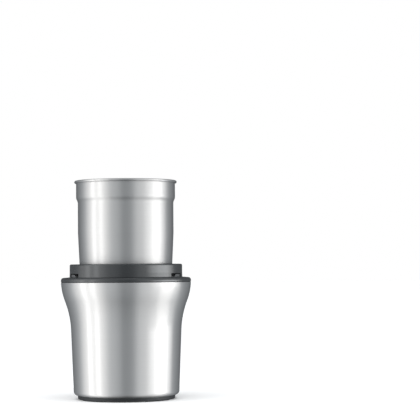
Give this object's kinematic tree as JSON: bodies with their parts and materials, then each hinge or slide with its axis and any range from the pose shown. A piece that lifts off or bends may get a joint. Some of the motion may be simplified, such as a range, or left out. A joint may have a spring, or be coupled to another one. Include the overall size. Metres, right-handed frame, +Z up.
{
  "type": "electric spice grinder",
  "caption": "Electric spice grinder: flared steel motor base with a lift-out, bayonet-locked steel bowl and spinning blade.",
  "frame": {"origin": "on the bench under the middle of the base", "axes": "+Z up along the motor's axis, front towards -Y, +X to the right seen from the front"},
  "size_m": [0.11, 0.11, 0.1844],
  "materials": {
    "body_steel": "brushed round the body",
    "cup_steel": "fine brushed outside, satin inside",
    "blade_steel": "ground",
    "bright_steel": "bright drawn",
    "zinc_steel": "zinc plated",
    "bronze": "sintered bronze",
    "brass": "bright",
    "copper": "enamelled copper",
    "lamination": "stacked sheet",
    "carbon": "carbon block",
    "gloss_black": "satin moulded",
    "black_plastic": "matte moulded",
    "bowl_black": "satin moulded",
    "grey_plastic": "matte moulded",
    "white_plastic": "natural nylon",
    "red_plastic": "moulded",
    "lead_blue": "extruded insulation",
    "rubber_grey": "matte",
    "rubber_black": "matte"
  },
  "bodies": {
    "base": {"steel_body": "body_steel", "seat_screws": "zinc_steel", "collar_screws": "zinc_steel", "trim_screws": "zinc_steel", "bottom_screws": "zinc_steel", "spool_screws": "zinc_steel", "motor_bolts": "zinc_steel", "right_switch_screws": "zinc_steel", "left_switch_screws": "zinc_steel", "trim_ring": "gloss_black", "collar": "gloss_black", "bowl_seat": "black_plastic", "inner_housing": "black_plastic", "bottom_cover": "black_plastic", "cord_spool": "black_plastic", "cord_guard": "black_plastic", "rubber_feet": "rubber_grey", "cord_grommet": "rubber_black", "drip_seal": "rubber_black", "motor_dampers": "rubber_black", "stator_core": "lamination", "field_coils": "copper", "upper_bracket": "zinc_steel", "lower_bracket": "zinc_steel", "upper_bearing": "bronze", "lower_bearing": "bronze", "brush_holders": "brass", "carbon_brushes": "carbon", "brush_springs": "bright_steel", "right_plunger_spring": "bright_steel", "left_plunger_spring": "bright_steel", "right_switch": "black_plastic", "left_switch": "black_plastic", "terminal_block": "white_plastic", "capacitor": "grey_plastic", "motor_leads": "lead_blue"},
    "bush": {"bowl_bush": "bronze", "bush_clip": "bright_steel", "shaft_seal": "rubber_black"},
    "bowl": {"bowl_cup": "cup_steel", "bowl_base": "bowl_black", "bowl_gasket": "rubber_black", "bowl_nuts": "zinc_steel"},
    "blade": {"blade": "blade_steel", "blade_shaft": "bright_steel", "blade_nut": "bright_steel", "shaft_clip": "bright_steel", "thrust_washer": "white_plastic", "driven_coupling": "white_plastic"},
    "rotor": {"motor_shaft": "bright_steel", "armature_core": "lamination", "armature_windings": "copper", "commutator": "copper", "cooling_fan": "white_plastic", "drive_coupling": "white_plastic"},
    "right_plunger": {"right_plunger": "grey_plastic", "right_switch_button": "red_plastic"},
    "left_plunger": {"left_plunger": "grey_plastic", "left_switch_button": "red_plastic"}
  },
  "joints": [
    {"name": "bowl_lift", "type": "slide", "parent": "base", "child": "bush", "axis": [0, 0, 1], "range_m": [0, 0.0705]},
    {"name": "bowl_turn", "type": "hinge", "parent": "bush", "child": "bowl", "pos_m": [0, 0, 0.083], "axis": [0, 0, -1], "range_deg": [0, 20]},
    {"name": "motor_spin", "type": "hinge", "parent": "base", "child": "rotor", "pos_m": [0, 0, 0.049], "axis": [0, 0, 1], "continuous": true},
    {"name": "blade_spin", "type": "hinge", "parent": "bush", "child": "blade", "pos_m": [0, 0, 0.1086], "axis": [0, 0, 1], "continuous": true},
    {"name": "right_plunger_press", "type": "slide", "parent": "base", "child": "right_plunger", "axis": [0, 0, -1], "range_m": [0, 0.0015], "stiffness_N_per_m": 800, "springref_m": -0.0025, "deforming": ["right_plunger_spring"]},
    {"name": "left_plunger_press", "type": "slide", "parent": "base", "child": "left_plunger", "axis": [0, 0, -1], "range_m": [0, 0.0015], "stiffness_N_per_m": 800, "springref_m": -0.0025, "deforming": ["left_plunger_spring"]}
  ],
  "couplings": [
    {"joint": "blade_spin", "follows": "motor_spin", "ratio": 1}
  ]
}
